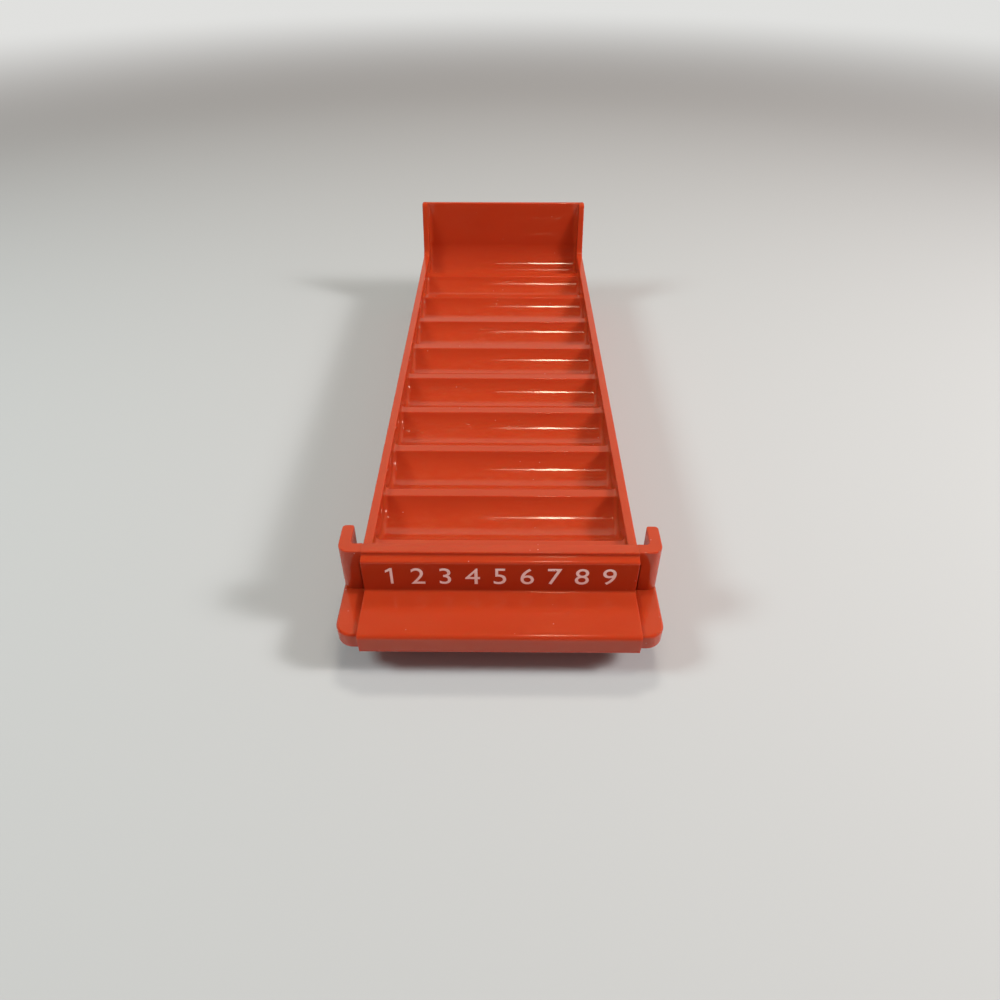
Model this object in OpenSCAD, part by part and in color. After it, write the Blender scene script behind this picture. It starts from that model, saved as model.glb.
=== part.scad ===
// Tray for a row of rolled coins, moulded in one colour of plastic.
// Millimetres. X runs across the tray, +Y towards the tall back stop, +Z up.
// The origin is on the surface the tray stands on, under the middle of its box.

/* [Channels] */
// Number of roll channels
channels = 9; // [3:1:12]
// Distance from one channel to the next
channel_pitch = 25.4; // [24:0.1:28]
// Radius of a channel's round bottom
channel_r = 12.7; // [11.5:0.1:16]
// Width of the flat top of a rib between two channels
rib_w = 3.7; // [2:0.1:6]
// Depth of the rib tops below the rim
rib_drop = 3; // [1:0.1:8]
// Thickness of the sheet that forms the channels
bed_t = 2.2; // [1.4:0.1:3.5]

/* [Walls] */
// Width over the two side walls
body_w = 85.9; // [60:0.1:140]
// Height of the rim of the side walls
rim_h = 33.5; // [28:0.5:60]
// Thickness of the side walls
side_wall_t = 2.9; // [2:0.1:5]
// Thickness of the back wall
back_wall_t = 2.6; // [1.6:0.1:5]
// Height of the back stop above the rim
back_rise = 25.4; // [12:0.1:60]
// Depth of a wing of the back stop at the rim
wing_depth = 6.8; // [4:0.1:15]
// Depth of a wing at its top
wing_top_depth = 3.4; // [2.8:0.1:3.8]
// Radius of a wing's top corner
wing_corner_r = 2.5; // [0.5:0.1:2.7]

/* [Front panel] */
// How far the panel stands out past each side wall
panel_over = 0.4; // [0:0.05:1]
// Depth of the flat land in front of the first channel
front_land = 4.65; // [3:0.05:12]
// Depth of the band along the top of the panel
band_depth = 4.05; // [3:0.05:10]
// Drop from the band to the shelf over the label face
shelf_drop = 1.6; // [0.8:0.1:2.4]
// Depth of the shelf over the label face
shelf_depth = 2.5; // [1:0.1:5]
// Height of the label face
label_h = 13.2; // [10:0.1:15]
// Thickness of the panel below the band
panel_t = 2.4; // [1.6:0.1:4]

/* [Pull ledge] */
// Reach of the ledge in front of the label face
ledge_reach = 18.1; // [12:0.1:30]
// Fall of the ledge's top towards its front edge
ledge_fall = 1; // [0:0.1:2]
// Height of the ledge's front lip
ledge_h = 7.1; // [5:0.1:9]
// Thickness of the ledge's top, lip and end webs
ledge_t = 2.4; // [1.6:0.1:3.2]

/* [Ears] */
// Width of an ear, from the side of the panel outwards
ear_w = 7.65; // [6.5:0.05:14]
// Setback of an ear's face behind the front of the band
ear_setback = 0.2; // [0.1:0.1:1.5]
// Thickness of the arm that runs back from an ear's outer edge
arm_t = 3.9; // [2:0.1:5]
// Length of the arm behind the ear's plate
arm_l = 8.4; // [4:0.1:20]
// Radius of the hollow where the arm joins the ear's plate
arm_root_r = 1.4; // [0.4:0.1:1.8]
// Radius of the ear's upright front corner
ear_corner_r = 3.5; // [1:0.1:5]
// Drop of the corner flange below the ledge's front edge
flange_drop = 1.1; // [0.3:0.1:2]
// Setback of the corner flange behind the ledge's lip
flange_setback = 1.6; // [0.5:0.1:4]
// Radius of the corner flange
flange_corner_r = 5.5; // [4:0.1:6.5]

/* [Edges] */
// Radius of the small edge roundings
edge_r = 0.35; // [0.2:0.05:0.7]

/* [Hidden] */

plastic = [0.78, 0.26, 0.12];
corner_steps = 6;
channel_fn = 128;
// How far round the last channel's bottom the back wall's cove begins
cove_angle = 40;

// Across the tray
outer_half = body_w / 2;
inner_half = outer_half - side_wall_t;
panel_half = outer_half + panel_over;
end_half = panel_half + ear_w;

// Along the tray, from the front edge of the first channel
chord = channel_pitch - rib_w;
first_axis_y = chord / 2;
last_axis_y = first_axis_y + (channels - 1) * channel_pitch;
bed_end_y = last_axis_y + channel_r * sin(cove_angle);
back_in_y = last_axis_y + channel_r;
back_y = back_in_y + back_wall_t;
wing_foot_y = back_in_y - wing_depth;
wing_top_y = back_y - wing_top_depth;
panel_in_y = -front_land;
band_front_y = panel_in_y - band_depth;
label_y = band_front_y - shelf_depth;
panel_back_y = label_y + panel_t;
ledge_front_y = label_y - ledge_reach;
ear_front_y = band_front_y + ear_setback;
arm_back_y = panel_in_y + arm_l;
flange_front_y = ledge_front_y + flange_setback;
flange_back_y = ear_front_y + ear_corner_r;
middle_y = (ledge_front_y + back_y) / 2;

// Heights
rib_z = rim_h - rib_drop;
bar_z = rib_z - bed_t;
axis_z = rib_z + sqrt(pow(channel_r, 2) - pow(chord / 2, 2));
top_z = rim_h + back_rise;
shelf_z = rim_h - shelf_drop;
ledge_rear_z = shelf_z - label_h;
ledge_front_z = ledge_rear_z - ledge_fall;
ledge_bottom_z = ledge_front_z - ledge_h;
flange_z = ledge_front_z - flange_drop;

function unit(v) = v / norm(v);

// Points of an arc of radius r that rounds the corner b between a and c
function corner_arc(a, b, c, r) =
    let (
        u = unit(a - b),
        v = unit(c - b),
        half = acos(u * v) / 2,
        sweep = 180 - 2 * half,
        centre = b + unit(u + v) * r / sin(half),
        start = b + u * r / tan(half) - centre,
        end = b + v * r / tan(half) - centre
    )
    [for (i = [0:corner_steps])
        let (t = i / corner_steps)
        centre + (start * sin((1 - t) * sweep) + end * sin(t * sweep)) / sin(sweep)];

// Outline through corners given as [x, y, radius]
function rounded(corners) =
    [for (i = [0:len(corners) - 1])
        let (
            n = len(corners),
            before = corners[(i + n - 1) % n],
            here = corners[i],
            after = corners[(i + 1) % n],
            a = [before[0], before[1]],
            b = [here[0], here[1]],
            c = [after[0], after[1]]
        )
        each (here[2] > 0 ? corner_arc(a, b, c, here[2]) : [b])];

// Puts the front-to-back middle of the tray on the origin
module centred() {
    translate([0, -middle_y, 0]) children();
}

// Runs a side-view profile (y, z) across the tray from x0 to x1
module across(x0, x1) {
    centred() translate([x0, 0, 0]) rotate([90, 0, 90]) linear_extrude(x1 - x0) children();
}

// Raises a plan outline (x, y) from z0 to z1
module upright(z0, z1) {
    centred() translate([0, 0, z0]) linear_extrude(z1 - z0) children();
}

module channel_circles(r) {
    for (i = [0:channels - 1])
        translate([first_axis_y + i * channel_pitch, axis_z]) circle(r, $fn = channel_fn);
}

// The sheet that forms the channels, with the ribs between them
module channel_bed() {
    bed_l = bed_end_y - panel_in_y;
    color(plastic) across(-inner_half, inner_half) difference() {
        union() {
            translate([panel_in_y, bar_z]) square([bed_l, bed_t]);
            intersection() {
                channel_circles(channel_r + bed_t);
                translate([panel_in_y, 0]) square([bed_l, rib_z]);
            }
        }
        channel_circles(channel_r);
    }
}

// Side wall, with the wing that stiffens the back stop at its rear end
module side_wall() {
    across(inner_half, outer_half) polygon(rounded([
        [panel_back_y, 0, 0],
        [back_y, 0, 0],
        [back_y, top_z, edge_r],
        [wing_top_y, top_z, wing_corner_r],
        [wing_foot_y, rim_h, wing_corner_r],
        [panel_in_y, rim_h, 0],
        [panel_in_y, bar_z, 0],
        [panel_back_y, bar_z, 0]
    ]));
}

module right_side() {
    color(plastic) side_wall();
}

module left_side() {
    color(plastic) mirror([1, 0, 0]) side_wall();
}

// Tall back wall; its foot is coved so that the last channel runs up into it
module back_stop() {
    color(plastic) across(-inner_half, inner_half) {
        polygon(rounded([
            [back_in_y, 0, 0],
            [back_y, 0, 0],
            [back_y, top_z, edge_r],
            [back_in_y, top_z, edge_r]
        ]));
        difference() {
            intersection() {
                channel_circles(channel_r + bed_t);
                translate([bed_end_y, 0]) square([back_y - bed_end_y, axis_z]);
            }
            channel_circles(channel_r);
        }
    }
}

// Front wall: top band, shelf and label face, and the wall below them
module front_panel() {
    color(plastic) across(-panel_half, panel_half) polygon(rounded([
        [panel_in_y, rim_h, 0],
        [band_front_y, rim_h, edge_r],
        [band_front_y, shelf_z, edge_r / 2],
        [label_y, shelf_z, edge_r],
        [label_y, 0, 0],
        [panel_back_y, 0, 0],
        [panel_back_y, bar_z, 0],
        [panel_in_y, bar_z, 0]
    ]));
}

// Finger pull: sloping top and front lip, open below, with a web at each end
module pull_ledge() {
    web_x = panel_half - ledge_t;
    color(plastic) {
        across(-web_x, web_x) polygon(rounded([
            [label_y, ledge_rear_z, 0],
            [ledge_front_y, ledge_front_z, edge_r],
            [ledge_front_y, ledge_bottom_z, edge_r],
            [ledge_front_y + ledge_t, ledge_bottom_z, edge_r],
            [ledge_front_y + ledge_t, ledge_front_z - ledge_t, 0],
            [label_y, ledge_rear_z - ledge_t, 0]
        ]));
        for (x0 = [-panel_half, web_x])
            across(x0, x0 + ledge_t) polygon(rounded([
                [label_y, ledge_rear_z, 0],
                [ledge_front_y, ledge_front_z, edge_r],
                [ledge_front_y, ledge_bottom_z, edge_r],
                [label_y, ledge_bottom_z, 0]
            ]));
    }
}

// Ear: upright plate with an arm that runs back beside the wall, on a flange with a round corner
module ear() {
    arm_x = end_half - arm_t;
    root_overlap = 1;
    upright(ledge_bottom_z, rim_h) polygon(rounded([
        [panel_half, ear_front_y, 0],
        [end_half, ear_front_y, ear_corner_r],
        [end_half, arm_back_y, edge_r],
        [arm_x, arm_back_y, edge_r],
        [arm_x, panel_in_y, arm_root_r],
        [panel_half, panel_in_y, 0]
    ]));
    upright(ledge_bottom_z, bar_z) translate([outer_half, ear_front_y])
        square([panel_over + root_overlap, panel_in_y - ear_front_y]);
    upright(flange_z - ledge_t, flange_z) polygon(rounded([
        [panel_half, flange_front_y, 0],
        [end_half, flange_front_y, flange_corner_r],
        [end_half, flange_back_y, 0],
        [panel_half, flange_back_y, 0]
    ]));
    upright(ledge_bottom_z, flange_z - ledge_t) polygon(rounded([
        [panel_half, flange_front_y, 0],
        [end_half, flange_front_y, flange_corner_r],
        [end_half, flange_back_y, 0],
        [end_half - ledge_t, flange_back_y, 0],
        [end_half - ledge_t, flange_front_y + ledge_t, flange_corner_r - ledge_t],
        [panel_half, flange_front_y + ledge_t, 0]
    ]));
}

module right_ear() {
    color(plastic) ear();
}

module left_ear() {
    color(plastic) mirror([1, 0, 0]) ear();
}

channel_bed();
left_side();
right_side();
back_stop();
front_panel();
pull_ledge();
left_ear();
right_ear();
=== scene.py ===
from math import acos, asin, cos, degrees, pi, radians, sin, sqrt, tan

import bmesh
import bpy
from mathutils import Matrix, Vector


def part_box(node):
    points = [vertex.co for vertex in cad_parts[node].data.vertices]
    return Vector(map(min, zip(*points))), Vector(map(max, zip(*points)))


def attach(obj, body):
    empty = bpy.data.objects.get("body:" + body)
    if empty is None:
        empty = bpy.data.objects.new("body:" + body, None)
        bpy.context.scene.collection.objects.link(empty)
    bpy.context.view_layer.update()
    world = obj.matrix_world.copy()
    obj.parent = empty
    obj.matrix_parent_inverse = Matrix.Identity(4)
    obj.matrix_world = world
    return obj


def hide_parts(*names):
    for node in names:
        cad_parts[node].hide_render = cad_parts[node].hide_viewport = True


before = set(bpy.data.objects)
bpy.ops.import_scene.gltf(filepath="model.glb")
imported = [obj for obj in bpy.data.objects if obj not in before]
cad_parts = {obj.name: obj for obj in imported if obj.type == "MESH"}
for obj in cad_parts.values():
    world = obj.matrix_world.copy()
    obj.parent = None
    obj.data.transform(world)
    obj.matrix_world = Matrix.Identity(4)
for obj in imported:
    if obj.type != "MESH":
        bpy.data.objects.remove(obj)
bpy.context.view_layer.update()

# ----------------------------------------------------------------------------------------------------
# Camera. It stands at the pull ledge's end of the tray, with its lens about 16 cm above the rim, and
# looks down along the channels.
# ----------------------------------------------------------------------------------------------------
look_down = 40.96
turn_left = 0.421
camera_data = bpy.data.cameras.new("camera")
camera_data.sensor_width = 36
camera_data.lens = 26.352
camera_data.clip_start = 0.01
camera = bpy.data.objects.new("camera", camera_data)
camera.location = (0.00119, -0.26903, 0.19428)
camera.rotation_euler = (radians(90 - look_down), 0, radians(turn_left))
bpy.context.scene.collection.objects.link(camera)
bpy.context.scene.camera = camera
bpy.context.scene.view_settings.view_transform = "Standard"

# ----------------------------------------------------------------------------------------------------
# Table. The tray stands free on a level table with a pale, matt cloth over it. Far from the tray the
# cloth fades into the room's pale backdrop, so that the table shows no edge.
# ----------------------------------------------------------------------------------------------------
table_half = 1.6
cloth_colour = (0.495, 0.493, 0.484, 1)
backdrop_colour = (1, 1, 0.98, 1)
backdrop_level = 0.75
fade_from, fade_to = 0.6, 1.3


def add(tree, kind, settings=None, **values):
    """Shader node of a kind. Settings are its options, values its unlinked inputs by name."""
    node = tree.nodes.new("ShaderNode" + kind)
    for option, value in (settings or {}).items():
        setattr(node, option, value)
    for socket, value in values.items():
        node.inputs[socket.replace("_", " ")].default_value = value
    return node


def feed(tree, value, socket):
    """Gives an input socket its value: a number, a colour or an output socket to link."""
    if isinstance(value, bpy.types.NodeSocket):
        tree.links.new(value, socket)
    else:
        socket.default_value = value


def maths(tree, operation, first, second=0.0):
    """Math node on two values, each a number or an output socket."""
    node = add(tree, "Math", {"operation": operation})
    feed(tree, first, node.inputs[0])
    feed(tree, second, node.inputs[1])
    return node.outputs[0]


def ramp(tree, value, low, high, to_low=0.0, to_high=1.0):
    """Smooth step of a value from low to high."""
    node = add(tree, "MapRange", {"interpolation_type": "SMOOTHSTEP"},
               From_Min=low, From_Max=high, To_Min=to_low, To_Max=to_high)
    tree.links.new(value, node.inputs["Value"])
    return node.outputs["Result"]


table_cloth = bpy.data.materials.new("table_cloth")
table_cloth.use_nodes = True
cloth = table_cloth.node_tree
matt = cloth.nodes["Principled BSDF"]
matt.inputs["Base Color"].default_value = cloth_colour
matt.inputs["Roughness"].default_value = 0.9
matt.inputs["Specular IOR Level"].default_value = 0.2
away = add(cloth, "VectorMath", {"operation": "LENGTH"})
cloth.links.new(add(cloth, "NewGeometry").outputs["Position"], away.inputs[0])
fade = maths(cloth, "MULTIPLY", ramp(cloth, away.outputs["Value"], fade_from, fade_to),
             add(cloth, "LightPath").outputs["Is Camera Ray"])
pale = add(cloth, "Emission", Color=backdrop_colour, Strength=backdrop_level)
faded = add(cloth, "MixShader")
for source, socket in ((fade, 0), (matt.outputs[0], 1), (pale.outputs[0], 2)):
    cloth.links.new(source, faded.inputs[socket])
cloth.links.new(faded.outputs[0], cloth.nodes["Material Output"].inputs["Surface"])

table_mesh = bpy.data.meshes.new("table")
table_mesh.from_pydata(
    [(x * table_half, y * table_half, 0) for x, y in ((-1, -1), (1, -1), (1, 1), (-1, 1))],
    [],
    [(0, 1, 2, 3)],
)
table_mesh.materials.append(table_cloth)
table = bpy.data.objects.new("table", table_mesh)
bpy.context.scene.collection.objects.link(table)

# ----------------------------------------------------------------------------------------------------
# Lamps and room. A short tube lamp over the table leaves a glint along each channel. A lamp on either
# side and a panel high behind light the tray softly, in a pale room with a bright wall behind it.
# ----------------------------------------------------------------------------------------------------
tube_white = (1, 0.9, 0.75)
right_white = (0.97, 0.98, 1)
left_white = (0.78, 0.97, 1)
panel_white = (1, 0.97, 0.9)
table_middle = (0, 0, 0)
right_place = (0.72, -0.18, 0.58)


def area_light(name, place, aim, size, power, colour, glints=True):
    """Oval soft light that faces the point aim. Without glints the plastic doesn't mirror it."""
    data = bpy.data.lights.new(name, "AREA")
    data.shape = "ELLIPSE"
    data.size, data.size_y = size
    data.energy = power
    data.color = colour
    light = bpy.data.objects.new(name, data)
    light.location = place
    light.rotation_euler = (Vector(aim) - Vector(place)).to_track_quat("-Z", "Y").to_euler()
    light.visible_glossy = glints
    bpy.context.scene.collection.objects.link(light)


area_light("tube", (0.064, -0.101, 0.726), (0.064, 0, 0), size=(0.058, 0.07), power=0.30,
           colour=tube_white)
area_light("tube_glow", (0.060, -0.101, 0.726), (0.060, 0, 0), size=(0.15, 0.065), power=0.12,
           colour=tube_white)
# the right lamp is a bulb in a wide shade, and only the bulb shows in the gloss
area_light("right_bulb", right_place, table_middle, size=(0.10, 0.10), power=2, colour=right_white)
area_light("right_lamp", right_place, table_middle, size=(0.26, 0.26), power=5, colour=right_white,
           glints=False)
area_light("left_lamp", (-0.60, -0.17, 0.63), table_middle, size=(0.24, 0.24), power=3.7,
           colour=left_white, glints=False)
area_light("rear_panel", (0.05, 0.36, 0.96), (0, -0.1, 0), size=(0.28, 0.18), power=3.0,
           colour=panel_white, glints=False)


def colour_mix(tree, amount, first, second):
    """Mixes two colours, each a colour or an output socket, by an amount socket."""
    node = add(tree, "Mix", {"data_type": "RGBA"})
    tree.links.new(amount, node.inputs["Factor"])
    feed(tree, first, node.inputs[6])
    feed(tree, second, node.inputs[7])
    return node.outputs[2]


wall_level, room_level = 0.6, 0.04
front_light, rear_light = 0.38, 0.15
front_tint, rear_tint = (1, 0.6, 0.6, 1), (1, 1, 0.86, 1)
world = bpy.data.worlds.new("surround")
bpy.context.scene.world = world
world.use_nodes = True
room = world.node_tree
way = add(room, "SeparateXYZ")
room.links.new(add(room, "TexCoord").outputs["Generated"], way.inputs[0])
rearward, upward = way.outputs["Y"], way.outputs["Z"]
rays = add(room, "LightPath")
mirror_ray, camera_ray = rays.outputs["Is Glossy Ray"], rays.outputs["Is Camera Ray"]

# what the plastic mirrors: a bright wall behind the tray, fading out 44 to 60 degrees up, in a dim room
wall = maths(room, "MULTIPLY", ramp(room, rearward, 0.15, 0.5), ramp(room, upward, 0.87, 0.70))
mirrored = maths(room, "ADD", maths(room, "MULTIPLY", wall, wall_level), room_level)
# what lights it evenly: the room, more from the ledge's end than from the back
lit = ramp(room, rearward, -0.6, 0.6, front_light, rear_light)
level = maths(room, "ADD", maths(room, "MULTIPLY", mirrored, mirror_ray),
              maths(room, "MULTIPLY", lit, maths(room, "SUBTRACT", 1, mirror_ray)))
level = maths(room, "MAXIMUM", level, maths(room, "MULTIPLY", camera_ray, backdrop_level))
tint = colour_mix(room, ramp(room, rearward, -0.5, 0.2), front_tint, rear_tint)
tint = colour_mix(room, camera_ray, tint, backdrop_colour)
room.links.new(level, room.nodes["Background"].inputs["Strength"])
room.links.new(tint, room.nodes["Background"].inputs["Color"])

# ----------------------------------------------------------------------------------------------------
# Plastic. Every piece of the tray is the same glossy orange-red moulding compound. The surface has
# the faint waviness of a polished mould, hairline scratches, haze from handling and settled dust.
# ----------------------------------------------------------------------------------------------------
MM = 0.001
plastic_colour = (0.45, 0.043, 0.0115, 1)
flow_colour = (0.425, 0.038, 0.010, 1)
scuff_colour = (0.50, 0.08, 0.03, 1)
dust_colour = (0.62, 0.50, 0.44, 1)
# how far each changes the colour, and how much roughness each adds
flow_shows, scratches_show, dust_shows = 0.5, 0.25, 0.35
clean_rough, haze_rough, scratch_rough, rub_rough, dust_rough = 0.04, 0.035, 0.2, 0.12, 0.3
skin_depth = 0.012 * MM
scratch_depth = 0.02 * MM
rub_fade = 3 * MM
# how a turn of the grain is shared between the three axes
turn_shares = (0.7, 0.4, 1)


def noise(tree, where, scale, detail=2.0, stretch=(1, 1, 1), turn=0.0):
    """Noise value at a place, stretched along the axes and turned about them."""
    mapping = add(tree, "Mapping", Scale=stretch, Rotation=[turn * share for share in turn_shares])
    tree.links.new(where, mapping.inputs["Vector"])
    texture = add(tree, "TexNoise", Detail=detail)
    feed(tree, scale, texture.inputs["Scale"])
    tree.links.new(mapping.outputs["Vector"], texture.inputs["Vector"])
    return texture.outputs["Fac"]


def effect_group(name, scales, output):
    """Empty shader node group with scales as its inputs and one value as its output."""
    group = bpy.data.node_groups.new(name, "ShaderNodeTree")
    for socket in scales:
        group.interface.new_socket(socket, in_out="INPUT", socket_type="NodeSocketFloat")
    group.interface.new_socket(output, in_out="OUTPUT", socket_type="NodeSocketFloat")
    where = add(group, "TexCoord").outputs["Object"]
    given = group.nodes.new("NodeGroupInput").outputs
    return group, where, given, group.nodes.new("NodeGroupOutput").inputs[0]


def scratch_group():
    """Hairline scratches: thin contour lines of stretched noise, kept only in patches."""
    group, where, given, out = effect_group("hairline_scratches", ["Scale", "Patch Scale"], "Scratches")
    lines = None
    for turn, stretch in ((0.25, (1, 9, 9)), (1.9, (1, 12, 12)), (-0.7, (1, 14, 14))):
        grain = noise(group, where, given["Scale"], detail=1.0, stretch=stretch, turn=turn)
        from_contour = maths(group, "ABSOLUTE", maths(group, "SUBTRACT", grain, 0.53))
        line = maths(group, "SUBTRACT", 1, ramp(group, from_contour, 0.0015, 0.006))
        lines = line if lines is None else maths(group, "MAXIMUM", lines, line)
    patches = ramp(group, noise(group, where, given["Patch Scale"]), 0.48, 0.66)
    group.links.new(maths(group, "MULTIPLY", lines, patches), out)
    return group


def haze_group():
    """Haze: broad and fine smears from handling, from 0 on clean plastic to 1 on dulled plastic."""
    group, where, given, out = effect_group("handling_haze", ["Scale", "Fine Scale"], "Haze")
    broad = ramp(group, noise(group, where, given["Scale"], detail=3.0), 0.35, 0.75)
    streaks = noise(group, where, given["Fine Scale"], detail=4.0, stretch=(1, 2.5, 2.5), turn=0.5)
    fine = ramp(group, streaks, 0.35, 0.8)
    mixed = maths(group, "ADD", maths(group, "MULTIPLY", broad, 0.65),
                  maths(group, "MULTIPLY", fine, 0.35))
    group.links.new(mixed, out)
    return group


def dust_group():
    """Dust: small pale specks, a third of a millimetre wide at a scale of 420, thinly scattered."""
    group, where, given, out = effect_group("dust", ["Scale"], "Specks")
    cells = add(group, "TexVoronoi", {"feature": "F1"})
    group.links.new(given["Scale"], cells.inputs["Scale"])
    group.links.new(where, cells.inputs["Vector"])
    speck = maths(group, "SUBTRACT", 1, ramp(group, cells.outputs["Distance"], 0.05, 0.11))
    cell = add(group, "SeparateColor")
    group.links.new(cells.outputs["Color"], cell.inputs["Color"])
    few = ramp(group, cell.outputs["Red"], 0.90, 0.94)
    group.links.new(maths(group, "MULTIPLY", speck, few), out)
    return group


def skin_group():
    """Moulded skin: the slow swell and fine grain of a moulded face, as a height."""
    group, where, given, out = effect_group("moulded_skin", ["Scale", "Grain Scale"], "Height")
    swell = noise(group, where, given["Scale"], detail=1.0)
    grain = noise(group, where, given["Grain Scale"])
    group.links.new(maths(group, "ADD", swell, maths(group, "MULTIPLY", grain, 0.01)), out)
    return group


effects = {group.name: group for group in (scratch_group(), haze_group(), dust_group(), skin_group())}


def effect(tree, name, **scales):
    """Places an effect's group in a material with its own scales, and gives its value."""
    return add(tree, "Group", {"node_tree": effects[name]}, **scales).outputs[0]


def plastic(name, rub_height=None, rub_amount=0.0):
    """The moulding compound. Coin rolls have rubbed it duller and paler below rub_height, in metres."""
    material = bpy.data.materials.new(name)
    material.use_nodes = True
    tree = material.node_tree
    shader = tree.nodes["Principled BSDF"]
    where = add(tree, "TexCoord").outputs["Object"]
    scratches = effect(tree, "hairline_scratches", Scale=130, Patch_Scale=45)
    haze = effect(tree, "handling_haze", Scale=22, Fine_Scale=160)
    specks = effect(tree, "dust", Scale=420)

    flow = ramp(tree, noise(tree, where, 35, stretch=(1, 3, 3)), 0.35, 0.75)
    colour = colour_mix(tree, maths(tree, "MULTIPLY", flow, flow_shows), plastic_colour, flow_colour)
    scuffs = maths(tree, "MULTIPLY", scratches, scratches_show)
    rubbed = None
    if rub_height is not None:
        place = add(tree, "SeparateXYZ")
        tree.links.new(where, place.inputs[0])
        low = ramp(tree, place.outputs["Z"], rub_height, rub_height - rub_fade)
        smears = ramp(tree, noise(tree, where, 500, detail=5.0, stretch=(0.5, 1, 1)), 0.4, 0.75)
        rubbed = maths(tree, "MULTIPLY", maths(tree, "MULTIPLY", low, smears), rub_amount)
        scuffs = maths(tree, "MAXIMUM", scuffs, rubbed)
    colour = colour_mix(tree, scuffs, colour, scuff_colour)
    colour = colour_mix(tree, maths(tree, "MULTIPLY", specks, dust_shows), colour, dust_colour)
    tree.links.new(colour, shader.inputs["Base Color"])

    rough = maths(tree, "ADD", maths(tree, "MULTIPLY", haze, haze_rough), clean_rough)
    for mark, amount in ((scratches, scratch_rough), (rubbed, rub_rough), (specks, dust_rough)):
        if mark is not None:
            rough = maths(tree, "ADD", rough, maths(tree, "MULTIPLY", mark, amount))
    tree.links.new(rough, shader.inputs["Roughness"])

    skin = add(tree, "Bump", Strength=0.35, Distance=skin_depth)
    tree.links.new(effect(tree, "moulded_skin", Scale=60, Grain_Scale=900), skin.inputs["Height"])
    cut = add(tree, "Bump", {"invert": True}, Strength=0.5, Distance=scratch_depth)
    tree.links.new(scratches, cut.inputs["Height"])
    tree.links.new(skin.outputs["Normal"], cut.inputs["Normal"])
    tree.links.new(cut.outputs["Normal"], shader.inputs["Normal"])
    shader.inputs["IOR"].default_value = 1.5
    shader.inputs["Specular Tint"].default_value = (0.96, 1, 0.84, 1)
    shader.inputs["Subsurface Weight"].default_value = 0.4
    shader.inputs["Subsurface Radius"].default_value = (3, 0.6, 0.2)
    shader.inputs["Subsurface Scale"].default_value = 1 * MM
    return material


# ----------------------------------------------------------------------------------------------------
# Channel sheet. One sheet about two millimetres thick, moulded with the rest of the tray, forms the
# land behind the front band, the round-bottomed channels with flat ribs between them, and the tall
# back stop that the last channel sweeps up into. It climbs the side walls in a small hollow.
# ----------------------------------------------------------------------------------------------------
channels = 9
channel_pitch = 25.4 * MM
channel_r = 12.7 * MM
rib_edge_r = 0.4 * MM
sheet_t = 2.2 * MM
stop_t = 2.6 * MM
stop_back_r = 1.1 * MM
edge_r = 0.35 * MM
rib_hollow_r = 1.6 * MM
stop_hollow_r = 2.5 * MM
land_hollow_r = 1.5 * MM
foot_hollow_r = 1.8 * MM
wall_draft = 0.02
wing_depth = 6.8 * MM
wing_top_depth = 3.4 * MM
# the most of a wing's depth that the hollow beside it takes up
hollow_share = 0.92
# how far a hidden end runs on into the piece beside it
lap = 1 * MM
# how far below their axis the channels begin to be rubbed, and how much
rub_drop = 9 * MM
rub_amount = 0.2

bed_low, bed_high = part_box("channel_bed")
_, stop_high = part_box("back_stop")
side_low, side_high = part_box("right_side")
panel_low, panel_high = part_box("front_panel")
rim_z = panel_high.z
rib_z = bed_high.z
bar_z = rib_z - sheet_t
land_y = bed_low.y
back_y = stop_high.y
top_z = stop_high.z
stop_face_y = back_y - stop_t
last_axis_y = stop_face_y - channel_r
axis_z = bed_low.z + sheet_t + channel_r
outer_half = side_high.x
inner_half = side_low.x
wing_foot_y = stop_face_y - wing_depth
wing_top_y = back_y - wing_top_depth


def inner_wall(z):
    """How far from the middle a side wall's inner face stands at a height: it leans out to the rim."""
    return inner_half - max(0, rim_z - z) * wall_draft


def arc(centre, radius, start, end, ends=(0, 0), step=4):
    """Arc in degrees, as outline corners about a step apart, each with the radii that ends gives."""
    count = max(2, round(abs(end - start) / step))
    turns = [radians(start + (end - start) * i / count) for i in range(count + 1)]
    return [(centre[0] + radius * cos(t), centre[1] + radius * sin(t), *ends) for t in turns]


def mitres(outline, sharpest=0.2):
    """At each corner of a closed outline, the way outwards that moves both its sides by one unit."""
    ways = []
    for before, here, after in zip(outline[-1:] + outline[:-1], outline, outline[1:] + outline[:1]):
        first = Vector((here[1] - before[1], before[0] - here[0])).normalized()
        second = Vector((after[1] - here[1], here[0] - after[0])).normalized()
        ways.append((first + second) / max(1 + first.dot(second), sharpest))
    return ways


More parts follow.
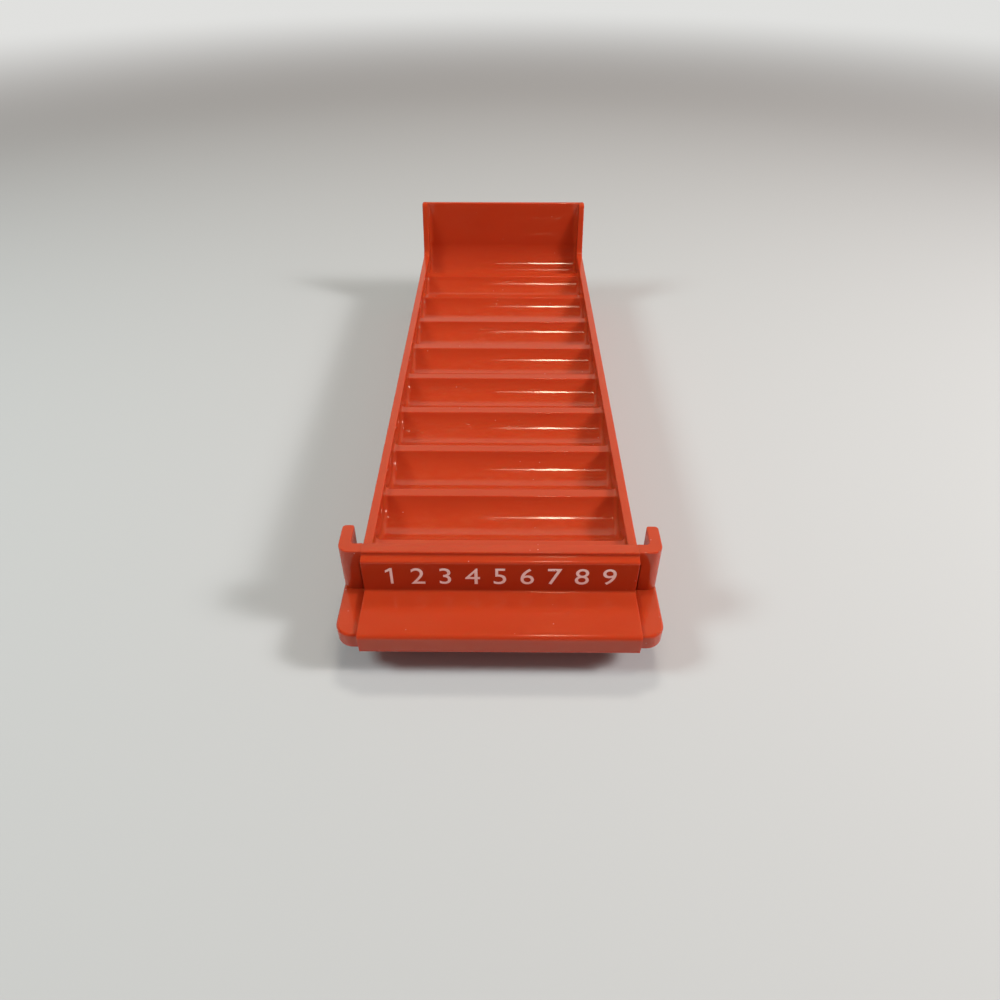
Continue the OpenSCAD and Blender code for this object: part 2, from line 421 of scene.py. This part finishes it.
def moulded(name, outline, reach, place, steps=8, weld=0.0005 * MM):
    """Closed moulding: a counter-clockwise outline (u, v, near radius, far radius) run along w.

    reach(side, u, v) gives w at side 0 and side 1. There a radius rounds the edge over in steps,
    and a negative one climbs the wall that the moulding meets. place turns (u, v, w) into x, y, z."""
    ways = mitres(outline)
    rings = []
    for side in (0, 1):
        inwards = 1 - 2 * side
        turns = [pi / 2 * k / steps for k in range(steps, -1, -1)]
        for turn in turns if side == 0 else reversed(turns):
            ring = []
            for (u, v, *radii), way in zip(outline, ways):
                radius = radii[side]
                shift = -radius * (1 - cos(turn))
                u, v = u + way.x * shift, v + way.y * shift
                w = reach(side, u, v) + inwards * abs(radius) * (1 - sin(turn))
                ring.append(place(u, v, w))
            rings.append(ring)
    count = len(outline)
    faces = [tuple(range(count)), tuple((len(rings) - 1) * count + i for i in reversed(range(count)))]
    for k in range(len(rings) - 1):
        for i in range(count):
            j = (i + 1) % count
            faces.append((k * count + j, k * count + i, (k + 1) * count + i, (k + 1) * count + j))
    mesh = bpy.data.meshes.new(name)
    mesh.from_pydata([point for ring in rings for point in ring], [], faces)
    shape = bmesh.new()
    shape.from_mesh(mesh)
    bmesh.ops.remove_doubles(shape, verts=shape.verts, dist=weld)
    bmesh.ops.dissolve_degenerate(shape, edges=shape.edges, dist=weld)
    bmesh.ops.recalc_face_normals(shape, faces=shape.faces)
    shape.to_mesh(mesh)
    shape.free()
    return mesh


def across(half):
    """Reach from side to side of the tray. half(y, z) gives the half width there."""
    return lambda side, y, z: (2 * side - 1) * half(y, z)


def side_view(y, z, x):
    """Place of a side-view outline's point."""
    return x, y, z


def piece_from(name, meshes, material, *nodes, crease=radians(32)):
    """One piece of the tray from its closed meshes. It stands for the named CAD nodes."""
    shape = bmesh.new()
    for mesh in meshes:
        shape.from_mesh(mesh)
    joined = bpy.data.meshes.new(name)
    shape.to_mesh(joined)
    shape.free()
    joined.shade_smooth()
    joined.set_sharp_from_angle(angle=crease)
    joined.materials.append(material)
    piece = bpy.data.objects.new(name, joined)
    bpy.context.scene.collection.objects.link(piece)
    flats = piece.modifiers.new("flat faces stay flat", "WEIGHTED_NORMAL")
    flats.keep_sharp = True
    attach(piece, "root")
    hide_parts(*nodes)


def stop_hollow(z):
    """Radii of the hollow at the back stop's ends. It dies out up the wings, as they grow shallow."""
    share = max(0, (z - rim_z) / (top_z - rim_z))
    wing = wing_depth + (wing_top_depth - stop_t - wing_depth) * share
    radius = min(stop_hollow_r, hollow_share * wing, max(0, top_z - 2 * edge_r - z))
    return -radius, -radius


def sheet_outline():
    """Side view of the sheet: over the top from the land to the back stop, then back underneath."""
    edge_centre_z = rib_z - rib_edge_r
    edge_reach = sqrt((channel_r + rib_edge_r) ** 2 - (axis_z - edge_centre_z) ** 2)
    lean = degrees(asin(edge_reach / (channel_r + rib_edge_r)))
    rib = (-rib_hollow_r, -rib_hollow_r)
    land = (-land_hollow_r, -land_hollow_r)
    axes = [last_axis_y - (channels - 1 - k) * channel_pitch for k in range(channels)]
    top = [(land_y - lap, rib_z + foot_hollow_r, 0, 0)]
    top += arc((land_y + foot_hollow_r, rib_z + foot_hollow_r), foot_hollow_r, 180, 270, land, step=10)
    for axis_y in axes:
        top += arc((axis_y - edge_reach, edge_centre_z), rib_edge_r, 90, 90 - lean, rib, step=12)
        if axis_y < last_axis_y:
            top += arc((axis_y, axis_z), channel_r, 270 - lean, 270 + lean, rib, step=3)[1:-1]
            top += arc((axis_y + edge_reach, edge_centre_z), rib_edge_r, 90 + lean, 90, rib, step=12)
    top += arc((last_axis_y, axis_z), channel_r, 270 - lean, 360, rib, step=3)[1:]
    rise = 16
    heights = [axis_z + (top_z - edge_r - axis_z) * i / rise for i in range(1, rise)]
    top += [(stop_face_y, z, *stop_hollow(z)) for z in heights]
    front_edge = arc((stop_face_y + edge_r, top_z - edge_r), edge_r, 180, 90, step=15)
    top += [(y, z, *stop_hollow(z)) for y, z, *_ in front_edge]
    top += arc((back_y - stop_back_r, top_z - stop_back_r), stop_back_r, 90, 0, step=15)
    below = [(back_y, 0, 0, 0), (stop_face_y, 0, 0, 0)]
    under_r = channel_r + sheet_t
    bar_lean = degrees(acos((axis_z - bar_z) / under_r))
    stop_lean = degrees(asin(channel_r / under_r))
    for axis_y in reversed(axes):
        rear_lean = bar_lean if axis_y < last_axis_y else stop_lean
        below += arc((axis_y, axis_z), under_r, 270 + rear_lean, 270 - bar_lean, step=6)
    below.append((land_y - lap, bar_z, 0, 0))
    return list(reversed(top + below))


channel_sheet = moulded("channel_sheet", sheet_outline(), across(lambda y, z: inner_wall(z)), side_view)
channel_plastic = plastic("plastic_channels", axis_z - rub_drop, rub_amount)
piece_from("channel_sheet", [channel_sheet], channel_plastic, "channel_bed", "back_stop")

# ----------------------------------------------------------------------------------------------------
# Side walls. Plain walls down both sides of the channels, moulded with them and drafted a little
# inside. Each rises behind into a wing that stiffens the back stop. All their edges are eased.
# ----------------------------------------------------------------------------------------------------
wing_corner_r = 2.5 * MM
wing_foot_r = 4.5 * MM
wing_end_r = 1 * MM
# near the back stop an inner edge's radius is at most this share of the way that is left to it
edge_share = 0.8
panel_t = 2.4 * MM
label_y = panel_low.y
panel_back_y = label_y + panel_t


def rounded(corners, step=10):
    """Outline from corners (u, v, corner radius, near radius, far radius), run counter-clockwise."""
    outline = []
    for i, (u, v, radius, *ends) in enumerate(corners):
        before = Vector(corners[i - 1][:2])
        here = Vector((u, v))
        after = Vector(corners[(i + 1) % len(corners)][:2])
        if radius == 0:
            outline.append((u, v, *ends))
            continue
        back, on = (before - here).normalized(), (after - here).normalized()
        half = back.angle(on) / 2
        centre = here + (back + on).normalized() * radius / sin(half)
        start = here + back * radius / tan(half) - centre
        sweep = degrees(start.angle_signed(here + on * radius / tan(half) - centre))
        first = degrees(start.angle_signed(Vector((1, 0))))
        outline += arc(centre, radius, first, first - sweep, ends, step)
    return outline


def wall_outline():
    """Side view of a wall with its wing."""
    outline = rounded([
        (panel_back_y, 0, 0, 0, 0),
        (back_y, 0, 0, 0, edge_r),
        (back_y, top_z, stop_back_r, 0, wing_end_r),
        (wing_top_y, top_z, wing_corner_r, edge_r, wing_end_r),
        (wing_foot_y, rim_z, wing_foot_r, edge_r, edge_r),
        (land_y - edge_r, rim_z, 0, edge_r, edge_r),
        (land_y - edge_r, bar_z, 0, 0, 0),
        (panel_back_y, bar_z, 0, 0, 0),
    ])
    return [
        (y, z, min(near, max(0, (stop_face_y - y) * edge_share)), far)
        for y, z, near, far in outline
    ]


def handed_side_view(hand):
    """Place of a side-view outline's point on the right side, or mirrored on the left."""
    return lambda y, z, x: (hand * x, y, z)


wall_plastic = plastic("plastic_walls")
for name, hand in (("left_side", -1), ("right_side", 1)):
    side_wall = moulded(
        name,
        wall_outline(),
        lambda side, y, z: outer_half if side else inner_wall(z),
        handed_side_view(hand),
    )
    piece_from(name, [side_wall], wall_plastic, name)

# ----------------------------------------------------------------------------------------------------
# Front panel. The wall below the ledge, the upright label face, a narrow shelf over it and the flat
# band at rim height, all moulded with the tray between the two ears.
# ----------------------------------------------------------------------------------------------------
shelf_depth = 2.5 * MM
shelf_drop = 1.6 * MM
shelf_fall = 0.6 * MM
shelf_edge_r = 0.9 * MM
shelf_root_r = 0.5 * MM
witness_r = 0.12 * MM
band_front_y = label_y + shelf_depth
shelf_z = rim_z - shelf_drop
panel_half = panel_high.x

panel = moulded(
    "front_panel",
    rounded([
        (label_y, 0, 0, witness_r, witness_r),
        (panel_back_y, 0, 0, 0, 0),
        (panel_back_y, bar_z, 0, 0, 0),
        (land_y, bar_z, 0, 0, 0),
        (land_y, rim_z, edge_r, 0, 0),
        (band_front_y, rim_z, edge_r, witness_r, witness_r),
        (band_front_y, shelf_z + shelf_fall / 2, shelf_root_r, witness_r, witness_r),
        (label_y, shelf_z - shelf_fall / 2, shelf_edge_r, witness_r, witness_r),
    ]),
    across(lambda y, z: panel_half),
    side_view,
    steps=4,
)
front_plastic = plastic("plastic_front")
piece_from("front_panel", [panel], front_plastic, "front_panel")

# ----------------------------------------------------------------------------------------------------
# Pull ledge. A finger pull across the front: a top that falls a little forwards and a lip, open
# below, with a web at each end. Its foot runs into the label face in a small hollow.
# ----------------------------------------------------------------------------------------------------
ledge_t = 2.4 * MM
ledge_h = 7.1 * MM
ledge_edge_r = 1.6 * MM
ledge_root_h = 0.7 * MM
ledge_root_r = 0.95 * ledge_root_h
ledge_end_r = 0.2 * MM
ledge_flare = 0.2 * MM
web_t = ledge_t
ledge_low, ledge_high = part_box("pull_ledge")
ledge_front_y = ledge_low.y
ledge_bottom_z = ledge_low.z
ledge_rear_z = ledge_high.z
ledge_front_z = ledge_bottom_z + ledge_h
lip_back_y = ledge_front_y + ledge_t


def ledge_half(y, z):
    """Half length of the ledge: it widens a little forwards, and its lip narrows downwards."""
    forwards = min(1, max(0, (label_y - y) / (label_y - ledge_front_y)))
    downwards = max(0, (ledge_front_z - z) / ledge_h)
    return panel_half + ledge_flare * (forwards - downwards)


ledge_top = moulded(
    "ledge_top",
    rounded([
        (label_y + lap, ledge_rear_z - ledge_t, 0, 0, 0),
        (label_y + lap, ledge_rear_z + ledge_root_h, 0, 0, 0),
        (label_y, ledge_rear_z + ledge_root_h, 0, 0, 0),
        (label_y, ledge_rear_z, ledge_root_r, ledge_end_r, ledge_end_r),
        (ledge_front_y, ledge_front_z, ledge_edge_r, ledge_end_r, ledge_end_r),
        (ledge_front_y, ledge_bottom_z, edge_r, ledge_end_r, ledge_end_r),
        (lip_back_y, ledge_bottom_z, edge_r, 0, 0),
        (lip_back_y, ledge_front_z - ledge_t, 0, 0, 0),
    ]),
    across(ledge_half),
    side_view,
    steps=5,
)
web_outline = [
    (lip_back_y, ledge_bottom_z, 0, 0),
    (lip_back_y, ledge_front_z - ledge_t, 0, 0),
    (label_y, ledge_rear_z - ledge_t, 0, 0),
    (label_y, ledge_bottom_z, 0, 0),
]
webs = [
    moulded(
        "ledge_web",
        web_outline,
        lambda side, y, z: ledge_half(y, z) - (0 if side else web_t),
        handed_side_view(hand),
        steps=1,
    )
    for hand in (-1, 1)
]
piece_from("pull_ledge", [ledge_top, *webs], front_plastic, "pull_ledge")

# ----------------------------------------------------------------------------------------------------
# Ears. At each end of the front panel stands an upright plate whose outer corner is rounded. An arm
# runs back from its outer edge beside the wall, and it stands on a flange with a round corner.
# ----------------------------------------------------------------------------------------------------
ear_setback = 0.2 * MM
arm_t = 3.9 * MM
arm_root_r = 1.4 * MM
arm_end_r = 1.3 * MM
arm_inner_end_r = 0.6 * arm_end_r
ear_lean = 0.2 * MM
ear_corner_r = 3.5 * MM
flange_drop = 1.1 * MM
flange_corner_r = 5.5 * MM
flange_inset = 0.15 * MM
flange_edge_r = 0.9 * MM
skirt_edge_r = 0.7 * MM
ear_low, ear_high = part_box("right_ear")
ear_front_y = band_front_y + ear_setback
flange_front_y = ear_low.y
arm_back_y = ear_high.y
end_half = ear_high.x
arm_x = end_half - arm_t
flange_z = ledge_front_z - flange_drop
flange_bottom_z = flange_z - ledge_t
flange_half = end_half - flange_inset
flange_back_y = ear_front_y + ear_corner_r


def plan_view(hand):
    """Place of a plan outline's point (x, y) at a height, on the right side or mirrored on the left."""
    return lambda x, y, z: (hand * x, y, z)


def leaning_plan_view(hand):
    """The same, with the ear's outer face leaning in a little towards its top."""
    def place(x, y, z):
        outwards = (x - panel_half) / (end_half - panel_half)
        return hand * (x - ear_lean * outwards * (z - ledge_bottom_z) / (rim_z - ledge_bottom_z)), y, z
    return place


def raised(low, high):
    """Reach of a plan outline from one height to another."""
    return lambda side, x, y: high if side else low


def ear_meshes(hand):
    """Plate with its arm, root that joins it to the wall, flange, and skirt under the flange."""
    # at the panel the plate meets the band level, with only a fine witness line between them
    plate = rounded([
        (panel_half, ear_front_y, 0, 0, witness_r),
        (end_half, ear_front_y, ear_corner_r, edge_r, edge_r),
        (end_half, arm_back_y, arm_end_r, edge_r, edge_r),
        (arm_x, arm_back_y, arm_inner_end_r, edge_r, edge_r),
        (arm_x, land_y, arm_root_r, edge_r, edge_r),
        (panel_half, land_y, 0, 0, witness_r),
    ])
    root = [
        (outer_half, ear_front_y, 0, 0),
        (panel_half + lap, ear_front_y, 0, 0),
        (panel_half + lap, land_y, 0, 0),
        (outer_half, land_y, 0, 0),
    ]
    flange = rounded([
        (panel_half, flange_front_y, 0, 0, flange_edge_r),
        (flange_half, flange_front_y, flange_corner_r, 0, flange_edge_r),
        (flange_half, flange_back_y, 0, 0, flange_edge_r),
        (panel_half, flange_back_y, 0, 0, 0),
    ])
    skirt = rounded([
        (panel_half, flange_front_y, 0, skirt_edge_r, 0),
        (flange_half, flange_front_y, flange_corner_r, skirt_edge_r, 0),
        (flange_half, flange_back_y, 0, 0, 0),
        (flange_half - ledge_t, flange_back_y, 0, 0, 0),
        (flange_half - ledge_t, flange_front_y + ledge_t, flange_corner_r - ledge_t, 0, 0),
        (panel_half, flange_front_y + ledge_t, 0, 0, 0),
    ])
    return [
        moulded("ear_plate", plate, raised(ledge_bottom_z, rim_z), leaning_plan_view(hand), steps=5),
        moulded("ear_root", root, raised(ledge_bottom_z, bar_z), plan_view(hand), steps=1),
        moulded("ear_flange", flange, raised(flange_bottom_z, flange_z), plan_view(hand), steps=5),
        moulded("ear_skirt", skirt, raised(ledge_bottom_z, flange_bottom_z), plan_view(hand), steps=3),
    ]


ear_plastic = plastic("plastic_ears")
for name, hand in (("left_ear", -1), ("right_ear", 1)):
    piece_from(name, ear_meshes(hand), ear_plastic, name)

# ----------------------------------------------------------------------------------------------------
# Numbers. A line of plain white numbers, one for each channel, printed on the label face in a thin
# matt ink that has worn through in places.
# ----------------------------------------------------------------------------------------------------
number_h = 7 * MM
number_pitch = 8.6 * MM
number_rise = 0.2 * MM
number_z = (shelf_z + ledge_rear_z) / 2 + number_rise
ink_t = 0.06 * MM
ink_colour = (0.98, 0.83, 0.77, 1)
thin_ink_colour = (0.94, 0.74, 0.67, 1)
wear_shows = 0.7
ink_rough, worn_rough = 0.55, 0.3
ink_grain_depth = 0.03 * MM
# the number one, one unit high: a plain stem with a flag
one_outline = [
    (-0.02, -0.5), (0.10, -0.5), (0.10, 0.5), (0, 0.5), (-0.22, 0.34), (-0.22, 0.21), (-0.02, 0.33),
]


def number_mesh(text):
    """One number as a thin closed mesh, its middle at the origin and its height number_h."""
    if text == "1":
        return moulded(
            "number",
            [(u * number_h, v * number_h, 0, 0) for u, v in one_outline],
            lambda side, u, v: ink_t * (side - 0.5),
            lambda u, v, w: (u, v, w),
            steps=1,
        )
    curve = bpy.data.curves.new("number", "FONT")
    curve.body = text
    curve.align_x = "CENTER"
    curve.resolution_u = 8
    letter = bpy.data.objects.new("number", curve)
    bpy.context.scene.collection.objects.link(letter)
    bpy.context.view_layer.update()
    tall = max(p[1] for p in letter.bound_box) - min(p[1] for p in letter.bound_box)
    curve.extrude = ink_t / 2 / (number_h / tall)
    bpy.context.view_layer.update()
    mesh = bpy.data.meshes.new_from_object(letter.evaluated_get(bpy.context.evaluated_depsgraph_get()))
    bpy.data.objects.remove(letter)
    xs = [v.co.x for v in mesh.vertices]
    ys = [v.co.y for v in mesh.vertices]
    middle_x, middle_y = (max(xs) + min(xs)) / 2, (max(ys) + min(ys)) / 2
    size = number_h / (max(ys) - min(ys))
    for v in mesh.vertices:
        v.co = Vector((v.co.x - middle_x, v.co.y - middle_y, v.co.z)) * size
    return mesh


def ink():
    """White print: matt, a little uneven, with pinholes and rubbed spots where the plastic shows."""
    material = bpy.data.materials.new("white_print")
    material.use_nodes = True
    tree = material.node_tree
    shader = tree.nodes["Principled BSDF"]
    where = add(tree, "TexCoord").outputs["Object"]
    worn = ramp(tree, noise(tree, where, 900, detail=3.0), 0.66, 0.74)
    thin = ramp(tree, noise(tree, where, 300, detail=3.0), 0.3, 0.7)
    colour = colour_mix(tree, thin, ink_colour, thin_ink_colour)
    colour = colour_mix(tree, maths(tree, "MULTIPLY", worn, wear_shows), colour, plastic_colour)
    tree.links.new(colour, shader.inputs["Base Color"])
    tree.links.new(ramp(tree, worn, 0, 1, ink_rough, worn_rough), shader.inputs["Roughness"])
    grain = add(tree, "Bump", Strength=0.4, Distance=ink_grain_depth)
    tree.links.new(noise(tree, where, 2500), grain.inputs["Height"])
    tree.links.new(grain.outputs["Normal"], shader.inputs["Normal"])
    return material


numbers_shape = bmesh.new()
for k in range(channels):
    number = number_mesh(str(k + 1))
    for v in number.vertices:
        x, z, out = v.co
        v.co = ((k - (channels - 1) / 2) * number_pitch + x, label_y - out, number_z + z)
    numbers_shape.from_mesh(number)
numbers_mesh = bpy.data.meshes.new("numbers")
bmesh.ops.recalc_face_normals(numbers_shape, faces=numbers_shape.faces)
numbers_shape.to_mesh(numbers_mesh)
numbers_shape.free()
numbers_mesh.materials.append(ink())
numbers = bpy.data.objects.new("numbers", numbers_mesh)
bpy.context.scene.collection.objects.link(numbers)
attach(numbers, "root")
